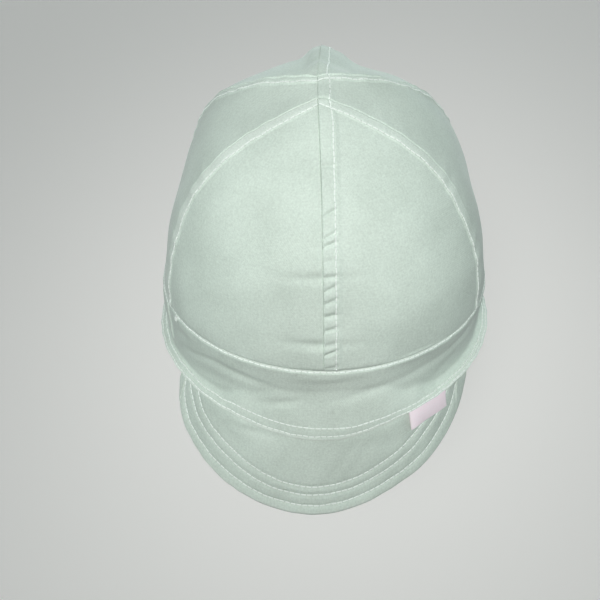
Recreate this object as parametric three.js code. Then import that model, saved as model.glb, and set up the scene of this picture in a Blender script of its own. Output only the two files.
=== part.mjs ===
// Soft cotton work cap: a crown of six panels, a band, a short hanging brim and a ribbon tab.
// Millimetres, +Z up. The brim hangs on the -Y side, and +X is to the right of it.
// The origin is the middle of the head opening, level with the band's lower edge on the far side.
// Angles round the head start at the middle of the brim side and grow towards +X.

import * as THREE from 'three';

// Head opening at the band's two edges, outside: half breadth, reach to the brim side and to the far side.
const BAND_TOP = { breadth: 82, brimReach: 88.4, farReach: 108 };
const BAND_LOW = { breadth: 85.2, brimReach: 90.2, farReach: 110 };
const BAND_HEIGHT = 26.6;
const BAND_WALL = 1.5;

// The crease where the band bends in, at places round the head: the angle, the crease's share of the
// band's height and its depth. It lies high over the brim and just over the hem at the sides.
const CREASES = [
  { angle: -180, share: 0.2, depth: 0.9 },
  { angle: -150, share: 0.18, depth: 0.9 },
  { angle: -100, share: 0.15, depth: 2.8 },
  { angle: -72, share: 0.14, depth: 3.4 },
  { angle: -50, share: 0.14, depth: 3.5 },
  { angle: -38, share: 0.18, depth: 3.3 },
  { angle: -26, share: 0.4, depth: 2.6 },
  { angle: -14, share: 0.6, depth: 2.3 },
  { angle: 4, share: 0.65, depth: 2.2 },
  { angle: 18, share: 0.6, depth: 2.3 },
  { angle: 30, share: 0.4, depth: 3.3 },
  { angle: 42, share: 0.18, depth: 3.9 },
  { angle: 56, share: 0.15, depth: 4.2 },
  { angle: 74, share: 0.15, depth: 4.2 },
  { angle: 100, share: 0.15, depth: 3 },
  { angle: 150, share: 0.18, depth: 0.9 },
  { angle: 180, share: 0.2, depth: 0.9 },
];
const CREASE_ROUNDING = 0.2;

// The line that the brim is sewn along: a broad and a narrow dip over the brim, the narrow one's half angle,
// and how far its right side is lifted.
const BAND_HANG = 2.6;
const BAND_DIP = 7.2;
const BAND_DIP_ANGLE = 25;
const BAND_LIFT = 1.3;

// How far the band's hem hangs over the brim, and the angles in degrees where this starts, is full on both
// sides and ends.
const HEM_COVER = { depth: 2, from: -62, full: -12, fading: 2, to: 22 };

// Crown: height over the band's top edge and exponent of its rounded outline.
const CROWN_RISE = 108.2;
const CROWN_ROUNDNESS = 2.13;

// Ridge on the centre seam: it fades out beside the seam on the brim side. On the far side it has steep
// flanks and stands in a broad hollow. One turns into the other over a share of the crown's reach.
const RIDGE = { rise: 4.2, centre: -0.9, halfWidth: 11 };
const REAR_RIDGE = { rise: 6.2, centre: -0.5, leftWidth: 9.5, rightWidth: 15.2, power: 4.5 };
const REAR_HOLLOW = { depth: 7.2, halfWidth: 21.4 };
const RIDGE_CHANGE = { from: -0.09, to: 0.1 };

// Crown cloth: its wall, how far it goes down behind the band, the height over which the band pinches it,
// and how full it hangs between its seams.
const PANEL_WALL = 1.2;
const PANEL_TUCK = 8;
const PINCH_HEIGHT = 5;
const SAG_FULLNESS = 0.7;

// Felled seams: a strip of doubled cloth on one side of each seam.
const CENTRE_STRIP = 5.7;
const STRIP_RISE = 0.7;
const STRIP_EDGE = 1.2;

// Brim: drop in the middle, half angle it spans, lean outwards, curl of its edge and sideways hang.
const BRIM_DROP = 44.9;
const BRIM_HALF_ANGLE = 57.4;
const BRIM_LEAN = 8.4;
const BRIM_CURL = 1.8;
const BRIM_SKEW = -5.2;
const BRIM_OUTLINE = { power: 2.26, fullness: 0.45 };
const BRIM_WALL = 2.4;
const BRIM_TUCK = 5;
const BRIM_END = 0.985;

// Ribbon tab: the angles of its two ends, its drop, how far its fold slants to the right, its wall,
// how far its left end lifts and over what share.
const LABEL = { from: 28, to: 43, drop: 11, slant: 1.3, wall: 1, lift: 1, liftShare: 0.4 };

// Clearance between neighbouring pieces.
const GAP = 0.3;

// Cells of the walls' grids.
const STRIP_COLUMNS = 2;
const PANEL_MIDDLE_COLUMNS = 8;
const PANEL_ROWS = 18;
const BAND_CELLS = { round: 88, high: 6 };
const BRIM_CELLS = { round: 32, high: 8 };
const LABEL_CELLS = { round: 10, high: 3 };

// Seams: the point on the ridge where a seam starts (x, y), the angle where it meets the band, how far
// it bows towards the brim half way, and the width of its felled strip.
const FRONT_TIP = { x: -2.8, y: -31.5 };
const REAR_TIP = { x: -2.8, y: -18.8 };
const SEAMS = {
  rearLeft: { tip: REAR_TIP, rim: -180, bow: 0, strip: CENTRE_STRIP },
  upperLeft: { tip: REAR_TIP, rim: -117.3, bow: 7.3, strip: 3.6 },
  lowerLeft: { tip: FRONT_TIP, rim: -67.2, bow: 3.3, strip: 4.8 },
  front: { tip: FRONT_TIP, rim: -0.1, bow: 0, strip: CENTRE_STRIP },
  lowerRight: { tip: FRONT_TIP, rim: 65.7, bow: 2.5, strip: 4.8 },
  upperRight: { tip: REAR_TIP, rim: 117.3, bow: 9, strip: 3.2 },
  rearRight: { tip: REAR_TIP, rim: 180, bow: 0, strip: CENTRE_STRIP },
};

// How the cloth of a panel sags between its seams. A power below 1 puts the deepest place near the band.
const TAUT = { depth: 0, power: 1 };
const SAGS = {
  back_left: { depth: 3.8, power: 1 },
  side_left: { depth: 4, power: 0.55 },
  front_left: TAUT,
  front_right: TAUT,
  side_right: { depth: 2.8, power: 0.55 },
  back_right: { depth: 5.1, power: 1 },
};

// Panels: the seams on both sides, the clearance at the tip, and the edges with a felled strip.
const POINT = 1.2;
const EDGE = GAP / 2;
const PANELS = [
  { name: 'back_left', from: 'rearLeft', to: 'upperLeft', tipGap: POINT, strips: [] },
  { name: 'side_left', from: 'upperLeft', to: 'lowerLeft', tipGap: EDGE, strips: ['from'] },
  { name: 'front_left', from: 'lowerLeft', to: 'front', tipGap: POINT, strips: ['from'] },
  { name: 'front_right', from: 'front', to: 'lowerRight', tipGap: POINT, strips: ['from', 'to'] },
  { name: 'side_right', from: 'lowerRight', to: 'upperRight', tipGap: EDGE, strips: ['to', 'tip'] },
  { name: 'back_right', from: 'upperRight', to: 'rearRight', tipGap: POINT, strips: ['to'] },
];

const COTTON = { color: 0xb4c8bc, roughness: 0.9, metalness: 0 };
const RIBBON = { color: 0xe6dde0, roughness: 0.6, metalness: 0 };

const { degToRad, radToDeg, lerp, clamp, smoothstep } = THREE.MathUtils;

// Steps from start to end, both included.
function steps(start, end, count) {
  return Array.from({ length: count + 1 }, (_, i) => lerp(start, end, i / count));
}

// A bell curve, 1 at zero and 1/e at the width.
function bell(x, width) {
  return Math.exp(-((x / width) ** 2));
}

// How far an angle round the head lies from a direction given in degrees, in degrees.
function turnFrom(angle, direction) {
  return radToDeg(Math.acos(clamp(Math.cos(angle - degToRad(direction)), -1, 1)));
}

// An angle round the head in degrees, from -180 to 180.
function turnOf(angle) {
  return radToDeg(Math.atan2(Math.sin(angle), Math.cos(angle)));
}

// A point of an oval ring made of two half ellipses that share their breadth.
function ringPoint(axes, angle, inset, z) {
  const reach = Math.cos(angle) > 0 ? axes.brimReach : axes.farReach;
  return new THREE.Vector3(
    (axes.breadth - inset) * Math.sin(angle),
    -(reach - inset) * Math.cos(angle),
    z,
  );
}

function mixAxes(low, high, t) {
  return {
    breadth: lerp(low.breadth, high.breadth, t),
    brimReach: lerp(low.brimReach, high.brimReach, t),
    farReach: lerp(low.farReach, high.farReach, t),
  };
}

// The line along which the brim is sewn to the band. It dips over the brim and is a little higher on the
// right.
function sewnLine(angle) {
  const hang = BAND_HANG * Math.max(Math.cos(angle), 0);
  const dip = BAND_DIP * bell(turnFrom(angle, 0), BAND_DIP_ANGLE);
  return BAND_LIFT * Math.sin(angle) - hang - dip;
}

// How far the band's hem hangs below that line, over the brim.
function hemCover(angle) {
  const turn = turnOf(angle);
  const leftShare = smoothstep(turn, HEM_COVER.from, HEM_COVER.full);
  const rightShare = 1 - smoothstep(turn, HEM_COVER.fading, HEM_COVER.to);
  return HEM_COVER.depth * leftShare * rightShare;
}

// The crease at an angle round the head, eased from one place to the next: its share of the band's height
// and its depth.
function creaseAt(angle) {
  const turn = turnOf(angle);
  const next = Math.max(CREASES.findIndex((place) => place.angle >= turn), 1);
  const before = CREASES[next - 1];
  const after = CREASES[next];
  const eased = smoothstep(turn, before.angle, after.angle);
  return {
    share: lerp(before.share, after.share, eased),
    depth: lerp(before.depth, after.depth, eased),
  };
}

// How far the band bends in at a share of its height: straight in from both edges to a rounded crease.
function bandHollow(angle, t) {
  const { share, depth } = creaseAt(angle);
  const away = t > share ? (t - share) / (1 - share) : (share - t) / share;
  const bend = (x) => Math.hypot(x, CREASE_ROUNDING) - CREASE_ROUNDING;
  return depth * (1 - bend(away) / bend(1));
}

// The band's face, from the brim's sewn line (t = 0) to the band's top edge (t = 1), bent in between.
function bandPoint(angle, t, inset) {
  const z = lerp(sewnLine(angle), BAND_HEIGHT, t);
  return ringPoint(mixAxes(BAND_LOW, BAND_TOP, t), angle, inset + bandHollow(angle, t), z);
}

// The ridge's height at a place across the crown (mm from the middle), before it fades towards the band.
function ridgeHeight(across, planY) {
  const fore = RIDGE.rise / (1 + ((across - RIDGE.centre) / RIDGE.halfWidth) ** 2);
  const beside = across - REAR_RIDGE.centre;
  const rearWidth = beside < 0 ? REAR_RIDGE.leftWidth : REAR_RIDGE.rightWidth;
  const rear = REAR_RIDGE.rise * Math.exp(-(Math.abs(beside / rearWidth) ** REAR_RIDGE.power));
  const hollow = REAR_HOLLOW.depth / (1 + (across / REAR_HOLLOW.halfWidth) ** 2);
  return lerp(fore, rear - hollow, smoothstep(planY, RIDGE_CHANGE.from, RIDGE_CHANGE.to));
}

// The crown over a plan point of the unit disc: a rounded dome with a ridge along its centre seam.
// Close to the band it is pinched in behind the band's wall.
function crownPoint(planX, planY) {
  const radius = Math.min(Math.hypot(planX, planY), 1);
  const dome = CROWN_RISE * (1 - radius ** CROWN_ROUNDNESS) ** (1 / CROWN_ROUNDNESS);
  const rise = dome + ridgeHeight(BAND_TOP.breadth * planX, planY) * (1 - radius ** 2);
  const pinch = (BAND_WALL + GAP) * Math.exp(-rise / PINCH_HEIGHT);
  const reach = planY < 0 ? BAND_TOP.brimReach : BAND_TOP.farReach;
  return new THREE.Vector3(
    (BAND_TOP.breadth - pinch) * planX,
    (reach - pinch) * planY,
    BAND_HEIGHT + rise,
  );
}

function tipInPlan(tip) {
  const reach = tip.y < 0 ? BAND_TOP.brimReach : BAND_TOP.farReach;
  return new THREE.Vector2(tip.x / BAND_TOP.breadth, tip.y / reach);
}

// A panel's cloth: u runs from one seam to the other, v from the band (0) to the tip (1).
// Below the band's top edge (v from 0 down to -1) the panel follows the back of the band.
function panelSurface(panel) {
  const from = SEAMS[panel.from];
  const to = SEAMS[panel.to];
  return (u, v) => {
    const angle = degToRad(lerp(from.rim, to.rim, u));
    if (v < 0) {
      const height = BAND_HEIGHT - sewnLine(angle);
      return bandPoint(angle, 1 + (v * PANEL_TUCK) / height, BAND_WALL + GAP);
    }
    const tip = tipInPlan(from.tip).lerp(tipInPlan(to.tip), u);
    const rim = new THREE.Vector2(Math.sin(angle), -Math.cos(angle));
    const spread = Math.max(Math.cos((v * Math.PI) / 2), 0) ** (2 / CROWN_ROUNDNESS);
    const plan = tip.lerp(rim, spread);
    const bow = (4 * spread * (1 - spread) * lerp(from.bow, to.bow, u)) / BAND_TOP.brimReach;
    return crownPoint(plan.x, plan.y - bow);
  };
}

// The outward direction of a surface, from small steps along u and v.
function outward(surface, u, v) {
  const step = 0.004;
  const alongU = surface(u + step, v).sub(surface(u - step, v));
  const alongV = surface(u, Math.min(v + step, 1)).sub(surface(u, v - step));
  return alongU.cross(alongV).normalize();
}

// A closed wall between an outer and an inner grid of points, grid[column][row].
// Columns run to the right and rows upwards, seen from outside; a ring's last column meets its first.
function wallGeometry(outer, inner, isRing = false) {
  const columns = outer.length;
  const rows = outer[0].length;
  const points = [...outer.flat(), ...inner.flat()];
  const outerAt = (i, j) => (i % columns) * rows + j;
  const innerAt = (i, j) => columns * rows + outerAt(i, j);
  const index = [];
  const quad = (a, b, c, d) => index.push(a, b, c, a, c, d);
  const rim = (at, next) => quad(outerAt(...next), outerAt(...at), innerAt(...at), innerAt(...next));
  const columnCells = isRing ? columns : columns - 1;
  for (let i = 0; i < columnCells; i += 1) {
    for (let j = 0; j < rows - 1; j += 1) {
      quad(outerAt(i, j), outerAt(i + 1, j), outerAt(i + 1, j + 1), outerAt(i, j + 1));
      quad(innerAt(i, j + 1), innerAt(i + 1, j + 1), innerAt(i + 1, j), innerAt(i, j));
    }
    rim([i, 0], [i + 1, 0]);
    rim([i + 1, rows - 1], [i, rows - 1]);
  }
  if (!isRing) {
    for (let j = 0; j < rows - 1; j += 1) {
      rim([columns - 1, j], [columns - 1, j + 1]);
      rim([0, j + 1], [0, j]);
    }
  }
  const geometry = new THREE.BufferGeometry().setFromPoints(points);
  geometry.setIndex(index);
  geometry.computeVertexNormals();
  return geometry;
}

// A wall whose two faces are the same surface at two insets: surface(column, row, inset).
function insetWall(surface, columns, rows, outerInset, thickness, isRing = false) {
  const grid = (inset) => columns.map((column) => rows.map((row) => surface(column, row, inset)));
  return wallGeometry(grid(outerInset), grid(outerInset + thickness), isRing);
}

// Columns across a panel that is width wide: a strip with its edge on both sides, and even cells between.
// Near the tip, where the panel is narrow, each takes a share of the width instead of its own size.
function panelColumns(width, fromStrip, toStrip) {
  const share = { edge: 0.2, strip: 0.3, foot: 0.05 };
  const edge = Math.min(GAP / 2 / width, share.edge);
  const first = Math.min(fromStrip / width, share.strip);
  const last = Math.min(toStrip / width, share.strip);
  const foot = Math.min(STRIP_EDGE / width, share.foot);
  return [
    ...steps(edge, first, STRIP_COLUMNS),
    ...steps(first + foot, 1 - last - foot, PANEL_MIDDLE_COLUMNS),
    ...steps(1 - last, 1 - edge, STRIP_COLUMNS),
  ];
}

// One crown panel: cloth that sags between its seams, thicker where a seam is felled.
function crownPanel(panel) {
  const surface = panelSurface(panel);
  const length = surface(0.5, 0).distanceTo(surface(0.5, 1));
  const lastRow = 1 - (2 / Math.PI) * Math.asin(panel.tipGap / length);
  const rows = [-1, -0.5, ...steps(0, 1, PANEL_ROWS).slice(0, -1), lastRow];
  const widthAt = (v) => surface(0, v).distanceTo(surface(1, v));
  const strips = { from: SEAMS[panel.from].strip, to: SEAMS[panel.to].strip, tip: CENTRE_STRIP };
  const rise = (u, v) => {
    const width = widthAt(v);
    const distances = { from: u * width, to: (1 - u) * width, tip: (1 - v) * length };
    const onStrip = panel.strips.map(
      (edge) => 1 - smoothstep(distances[edge], strips[edge], strips[edge] + STRIP_EDGE),
    );
    const overBand = clamp((surface(u, v).z - BAND_HEIGHT) / PINCH_HEIGHT, 0, 1);
    return STRIP_RISE * Math.max(0, ...onStrip) * overBand;
  };
  const { depth, power } = SAGS[panel.name];
  const sag = (u, v) => {
    const along = Math.sin(Math.PI * clamp(v, 0, 1) ** power);
    return depth * Math.sin(Math.PI * u) * Math.max(along, 0) ** SAG_FULLNESS;
  };
  const columnsAt = rows.map((v) => panelColumns(widthAt(v), strips.from, strips.to));
  const face = (lift) =>
    columnsAt[0].map((_, i) =>
      rows.map((v, j) => {
        const u = columnsAt[j][i];
        return surface(u, v).addScaledVector(outward(surface, u, v), lift(u, v) - sag(u, v));
      }),
    );
  return wallGeometry(face(rise), face(() => -PANEL_WALL));
}

// The band's ring. Its rows run from the lower edge (-1) to the crease (0) and on to the top edge (1).
function band() {
  const columns = steps(0, 2 * Math.PI, BAND_CELLS.round).slice(0, -1);
  const rows = steps(-1, 1, BAND_CELLS.high);
  const surface = (angle, row, inset) => {
    const { share } = creaseAt(angle);
    const low = -hemCover(angle) / (BAND_HEIGHT - sewnLine(angle));
    return bandPoint(angle, row < 0 ? lerp(low, share, 1 + row) : lerp(share, 1, row), inset);
  };
  return insetWall(surface, columns, rows, 0, BAND_WALL, true);
}

// The brim's cloth, a drop below its sewn line. Above it (drop below zero) it lies behind the band.
function brimPoint(angle, drop, inset) {
  if (drop < 0) {
    const height = BAND_HEIGHT - sewnLine(angle);
    return bandPoint(angle, -drop / height, inset);
  }
  const share = drop / BRIM_DROP;
  const lean = degToRad(BRIM_LEAN);
  const out = drop * Math.sin(lean) + BRIM_CURL * share ** 2;
  const edge = bandPoint(angle, 0, inset - out);
  edge.x += BRIM_SKEW * share;
  edge.z -= drop * Math.cos(lean);
  return edge;
}

// How far the brim drops across its span, from -1 at its left end to 1 at its right end.
function brimDrop(across) {
  return BRIM_DROP * (1 - Math.abs(across) ** BRIM_OUTLINE.power) ** BRIM_OUTLINE.fullness;
}

// The brim is tucked in behind the band, but no higher than the band's crease.
function brim() {
  const columns = steps(-1, 1, BRIM_CELLS.round).map((s) => BRIM_END * Math.sin((s * Math.PI) / 2));
  const rows = [...steps(1, 0, BRIM_CELLS.high), -0.5, -1];
  const surface = (across, row, inset) => {
    const angle = degToRad(BRIM_HALF_ANGLE * across);
    const crease = creaseAt(angle).share * (BAND_HEIGHT - sewnLine(angle));
    const drop = row < 0 ? Math.min(BRIM_TUCK, crease) * row : brimDrop(across) * row;
    return brimPoint(angle, drop, inset);
  };
  return insetWall(surface, columns, rows, BAND_WALL + GAP, BRIM_WALL);
}

// The ribbon tab hangs from the band's lower edge on the brim's face. It slants a little, and its left
// end lifts.
function label() {
  const surface = (angle, drop, inset) => {
    const along = (angle - degToRad(LABEL.from)) / degToRad(LABEL.to - LABEL.from);
    const lift = LABEL.lift * (1 - smoothstep(along, 0, LABEL.liftShare)) * (drop / LABEL.drop);
    const slant = (degToRad(LABEL.slant) * drop) / LABEL.drop;
    return brimPoint(angle + slant, drop, inset - lift);
  };
  const columns = steps(degToRad(LABEL.from), degToRad(LABEL.to), LABEL_CELLS.round);
  const rows = steps(LABEL.drop, GAP, LABEL_CELLS.high);
  return insetWall(surface, columns, rows, BAND_WALL - LABEL.wall, LABEL.wall);
}

function piece(name, geometry, finish) {
  const mesh = new THREE.Mesh(geometry, new THREE.MeshStandardMaterial(finish));
  mesh.name = name;
  return mesh;
}

const cap = new THREE.Group();
for (const panel of PANELS) {
  cap.add(piece(`crown_panel_${panel.name}`, crownPanel(panel), COTTON));
}
cap.add(piece('band', band(), COTTON));
cap.add(piece('brim', brim(), COTTON));
cap.add(piece('label', label(), RIBBON));

export default cap;
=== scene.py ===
"""A soft cotton work cap: six crown panels, a band, a short hanging brim and a bare ribbon tab.

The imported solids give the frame: metres, +Z up, the brim on the -Y side and +X to its right.
Shapes are worked out in millimetres and go into the meshes in metres. Angles round the head are in
radians, start at the middle of the brim side and grow towards +X.
"""
import bpy
import numpy as np
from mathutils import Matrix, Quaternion, Vector


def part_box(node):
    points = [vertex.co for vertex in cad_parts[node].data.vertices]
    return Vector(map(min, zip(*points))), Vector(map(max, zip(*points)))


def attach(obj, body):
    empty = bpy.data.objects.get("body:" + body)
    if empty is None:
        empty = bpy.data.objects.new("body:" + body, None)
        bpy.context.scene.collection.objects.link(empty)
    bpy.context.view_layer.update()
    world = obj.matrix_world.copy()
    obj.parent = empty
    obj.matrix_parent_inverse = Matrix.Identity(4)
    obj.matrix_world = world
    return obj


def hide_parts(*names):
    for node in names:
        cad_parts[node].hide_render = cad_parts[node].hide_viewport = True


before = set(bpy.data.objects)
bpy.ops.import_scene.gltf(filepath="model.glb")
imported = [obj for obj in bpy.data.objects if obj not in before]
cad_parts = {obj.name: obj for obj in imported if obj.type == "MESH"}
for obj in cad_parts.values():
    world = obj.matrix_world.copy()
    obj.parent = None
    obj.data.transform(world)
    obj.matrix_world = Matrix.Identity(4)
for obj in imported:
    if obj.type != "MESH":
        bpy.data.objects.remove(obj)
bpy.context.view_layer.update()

MM = 0.001

# Band: an oval is a half breadth, a reach to the brim side and a reach to the far side. The low oval lies
# at the line that the brim is sewn along. Its breadth, its far reach and the height are the solid's.
BAND_BRIM_REACH = 90.2
band_far_corner = np.array(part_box("band")[1]) / MM
BAND_LOW = (band_far_corner[0], BAND_BRIM_REACH, band_far_corner[1])
BAND_TOP = (82.0, 88.4, 108.0)
BAND_HEIGHT = band_far_corner[2]
BAND_WALL = 1.5

# The sewn line: how deep and how wide in degrees it dips over the brim, how far it rises to the right, and
# how far it hangs on the whole brim side.
BAND_DIP = 7.2
BAND_DIP_ANGLE = 25.0
BAND_LIFT = 1.3
BAND_HANG = 2.6

# How far the band's hem hangs below the sewn line over the brim, and the angles in degrees where this
# starts, is full on both sides and ends.
HEM_COVER = 2.0
HEM_COVER_ANGLES = (-62, -12, 2, 22)

# The crease where the band bends in, at stations round the head: angle in degrees, share of the band's
# height, depth. Its rounding is a share of the way to an edge.
CREASE_STATIONS = np.array([
    (-180, 0.20, 0.9),
    (-150, 0.18, 0.9),
    (-100, 0.14, 2.8),
    (-72, 0.12, 3.3),
    (-50, 0.12, 3.4),
    (-38, 0.16, 3.2),
    (-26, 0.40, 2.6),
    (-14, 0.60, 2.3),
    (4, 0.65, 2.2),
    (18, 0.60, 2.3),
    (30, 0.36, 3.4),
    (42, 0.14, 4.6),
    (56, 0.10, 5.2),
    (74, 0.10, 5.0),
    (100, 0.14, 3.2),
    (150, 0.18, 0.9),
    (180, 0.20, 0.9),
])
CREASE_ROUNDING = 0.2

# Crown: its rise over the band, the exponent of its outline, the low ridge on its centre seam, and the
# steeper ridge that this becomes towards the back, with a hollow round it.
CROWN_RISE = 108.2
CROWN_ROUNDNESS = 2.13
RIDGE_RISE = 4.2
RIDGE_CENTRE = -0.9
RIDGE_HALF_WIDTH = 11.0
REAR_RIDGE_RISE = 6.2
REAR_RIDGE_CENTRE = -0.5
REAR_RIDGE_WIDTHS = (9.5, 15.2)
REAR_RIDGE_POWER = 4.5
REAR_HOLLOW_DEPTH = 7.2
REAR_HOLLOW_HALF_WIDTH = 21.4
RIDGE_CHANGE = (-0.09, 0.10)

# Crown panels: the wall, the way down behind the band, the height over which the band pinches them in, the
# puff over its edge, how full their sag is, and the gap between neighbouring pieces.
PANEL_WALL = 1.2
PANEL_TUCK = 8.0
PINCH_HEIGHT = 1.5
PUFF = 1.3
SAG_FULLNESS = 0.7
GAP = 0.3

# Felled seams: the rise of the doubled strip beside a seam and the share of it that shows inside, how far
# its stitches lie from its edge, the groove that they pull, and the width over which the painted highlight
# on the strip fades.
STRIP_RISE = 0.55
STRIP_INSIDE = 0.4
STITCH_MARGIN = 0.45
GROOVE_DEPTH = 0.2
GROOVE_WIDTH = 0.5
PAINTED_HIGHLIGHT_FADE = 0.6

# Every seam: the lip on its flat side, the gap between the panels, and the gathers beside it.
LIP_PLACE = 1.1
LIP_WIDTH = 0.7
SEAM_GAP = 0.06
TIP_GAP = 0.07
GATHER_DEPTH = 0.24
GATHER_PLACE = 2.5
GATHER_WIDTH = 4.5

# Brim: drop in the middle, half angle, lean, curl of its edge, sideways hang, wall, the way up behind the
# band, and the share of the half angle where its mesh ends.
BRIM_DROP = 44.9
BRIM_HALF_ANGLE = 57.4
BRIM_LEAN = np.radians(8.4)
BRIM_CURL = 1.8
BRIM_SKEW = -5.2
BRIM_WALL = 2.4
BRIM_TUCK = 5.0
BRIM_END = 0.992

# Ribbon tab: the angles of its ends, its drop and slant, its thickness folded and of one ply, how far and
# over what share its left end lifts, and how far it sways and puffs out.
LABEL_FROM = np.radians(28.0)
LABEL_TO = np.radians(43.0)
LABEL_DROP = 11.0
LABEL_SLANT = np.radians(1.3)
LABEL_WALL = 1.0
LABEL_PLY = 0.36
LABEL_LIFT = 1.0
LABEL_LIFT_SHARE = 0.4
LABEL_SWAY = 0.12
LABEL_PUFF = 0.35

# Thread of the topstitching.
STITCH_LENGTH = 2.7
STITCH_PITCH = 2.8
THREAD_RADIUS = 0.33


def lerp(start, end, share):
    return start + (end - start) * share


def smoothstep(x, start, end):
    t = np.clip((x - start) / (end - start), 0, 1)
    return t * t * (3 - 2 * t)


def bell(x, width):
    """A bell curve, 1 at x = 0 and 1/e at the width."""
    return np.exp(-((x / width) ** 2))


def unit(vectors):
    return vectors / np.maximum(np.linalg.norm(vectors, axis=-1, keepdims=True), 1e-12)


def way_along(points):
    """The way along a line of points, from 0 at its start."""
    return np.concatenate([[0], np.cumsum(np.linalg.norm(np.diff(points, axis=0), axis=-1))])


def outward(surface, u, v, step=0.004):
    """The direction a surface faces: the cross product of its small steps along u and along v."""
    along_u = surface(u + step, v) - surface(u - step, v)
    along_v = surface(u, np.minimum(v + step, 1)) - surface(u, v - step)
    return unit(np.cross(along_u, along_v))


# Unevenness of worn cloth: wave length and height in mm, and the direction that the wave runs.
CLOTH_WAVES = [
    (61, 0.28, (0.8, 0.1, 0.6)),
    (43, 0.22, (-0.5, 0.3, 0.8)),
    (31, 0.16, (0.2, 0.7, 0.7)),
    (23, 0.10, (0.9, -0.3, 0.3)),
    (17, 0.06, (-0.3, 0.2, 0.9)),
]


def cloth_waves(points, shift=1.7):
    """Slow unevenness: a sum of sines, each along its own direction through space and shifted in phase."""
    total = 0
    for turn, (length, height, direction) in enumerate(CLOTH_WAVES):
        way = points @ unit(np.array(direction))
        total = total + height * np.sin(2 * np.pi * way / length + shift * turn)
    return total


# Crown

# Seams: the tip on the ridge where a seam starts (x, y), the angle in degrees where it meets the band,
# how far it bows towards the brim between them, the width of its strip, how softly the strip ends, how deep
# and wide the groove along the seam is, the lip beside it, and how strong the painted highlight that makes
# its strip pale is.
FRONT_TIP = (-2.8, -31.5)
REAR_TIP = (-2.8, -18.8)
CENTRE_SEAM = {"bow": 0.0, "strip": 5.7, "soft": 2.6, "roll": 0.45, "groove": 0.18, "lip": 0.0, "pale": 0.0}
UPPER_SEAM = {"soft": 0.8, "roll": 1.0, "groove": 0.55, "lip": 0.5, "pale": 0.15}
LOWER_SEAM = {"strip": 4.8, "soft": 0.5, "roll": 0.6, "groove": 0.4, "lip": 0.0}
SEAMS = {
    "rear_left": {"tip": REAR_TIP, "rim": -180.0, **CENTRE_SEAM},
    "upper_left": {"tip": REAR_TIP, "rim": -117.3, "bow": 7.3, "strip": 3.6, **UPPER_SEAM},
    "lower_left": {"tip": FRONT_TIP, "rim": -67.2, "bow": 3.3, "pale": 0.6, **LOWER_SEAM},
    "front": {"tip": FRONT_TIP, "rim": -0.1, **CENTRE_SEAM},
    "lower_right": {"tip": FRONT_TIP, "rim": 65.7, "bow": 2.5, "pale": 0.2, **LOWER_SEAM},
    "upper_right": {"tip": REAR_TIP, "rim": 117.3, "bow": 9.0, "strip": 3.2, **UPPER_SEAM},
    "rear_right": {"tip": REAR_TIP, "rim": 180.0, **CENTRE_SEAM},
}

# Panels: the seams on both sides, the sag between them (depth, power) and the felled edges.
PANELS = {
    "back_left": ("rear_left", "upper_left", (3.8, 1.0), ()),
    "side_left": ("upper_left", "lower_left", (4.0, 0.55), ("first",)),
    "front_left": ("lower_left", "front", (0.0, 1.0), ("first",)),
    "front_right": ("front", "lower_right", (0.0, 1.0), ("first", "second")),
    "side_right": ("lower_right", "upper_right", (2.8, 0.55), ("second", "tip")),
    "back_right": ("upper_right", "rear_right", (5.1, 1.0), ("second",)),
}

# Puckers across the strip of the front seam: mm up from the band, slant across the strip, depth, width.
# Each has a low swell above it, given as shares of its depth and width: height, place, width. They are
# weaker at the seam and fade round the strip's edge.
PUCKER_SWELL = (0.3, 2.6, 1.8)
PUCKER_AT_SEAM = 0.6
PUCKER_FADE = (1.6, 1.8)
FRONT_PUCKERS = [
    (3.2, 1.2, 0.42, 1.0),
    (10.2, 2.6, 0.81, 0.9),
    (15.2, 1.0, 0.59, 1.5),
    (22.2, 1.8, 0.68, 1.0),
    (29.0, 1.2, 0.89, 1.2),
    (35.0, 2.6, 0.68, 1.0),
    (40.6, 3.4, 0.72, 1.0),
    (47.2, 0.6, 0.85, 1.0),
    (54.2, 1.0, 0.30, 1.1),
    (60.0, 3.0, 0.81, 0.9),
    (63.4, 4.0, 0.59, 0.8),
    (72.8, 4.0, 0.81, 0.9),
    (94.6, 0.5, 0.68, 1.0),
]

# Soft drag lines beside the front seam: mm up from the band, length, depth, width. On the right they are
# weaker and come in beyond the strip.
DRAG_SLANT = 0.04
RIGHT_DRAG_SHARE = 0.5
RIGHT_DRAG_START = 3
FRONT_DRAGS = [
    (15.0, 13.0, 1.40, 2.3),
    (46.8, 15.0, 1.10, 2.2),
    (61.0, 8.0, 0.30, 2.0),
    (90.0, 8.0, 0.30, 2.4),
    (104.0, 9.0, 0.35, 2.2),
]

# Mesh of a panel: the zone of close columns beside each seam, the shares of the width that it and a gap keep
# to, columns, rows, the zone of close rows over the band, and the rows behind the band as v.
FINE_ZONE = 10.5
FINE_ZONE_LIMIT = 0.36
SEAM_GAP_LIMIT = 0.1
FINE_COLUMNS = 30
FINE_POWER = 1.6
MIDDLE_COLUMNS = 40
PANEL_ROWS = 130
PUCKERED_ROWS = 300
RIM_ZONE = 5.0
RIM_ROWS = 18
TUCKED_ROWS = [-1, -0.7, -0.4, -0.15]


def sewn_line(angle):
    """Height of the line that the brim is sewn along: a lift towards the right, and a broad and a
    bell-shaped dip over the brim."""
    turn = np.degrees(np.arccos(np.clip(np.cos(angle), -1, 1)))
    dip = BAND_HANG * np.maximum(np.cos(angle), 0) + BAND_DIP * bell(turn, BAND_DIP_ANGLE)
    return BAND_LIFT * np.sin(angle) - dip


def band_length(angle):
    """Height of the band from the sewn line to its top edge."""
    return BAND_HEIGHT - sewn_line(angle)


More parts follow.
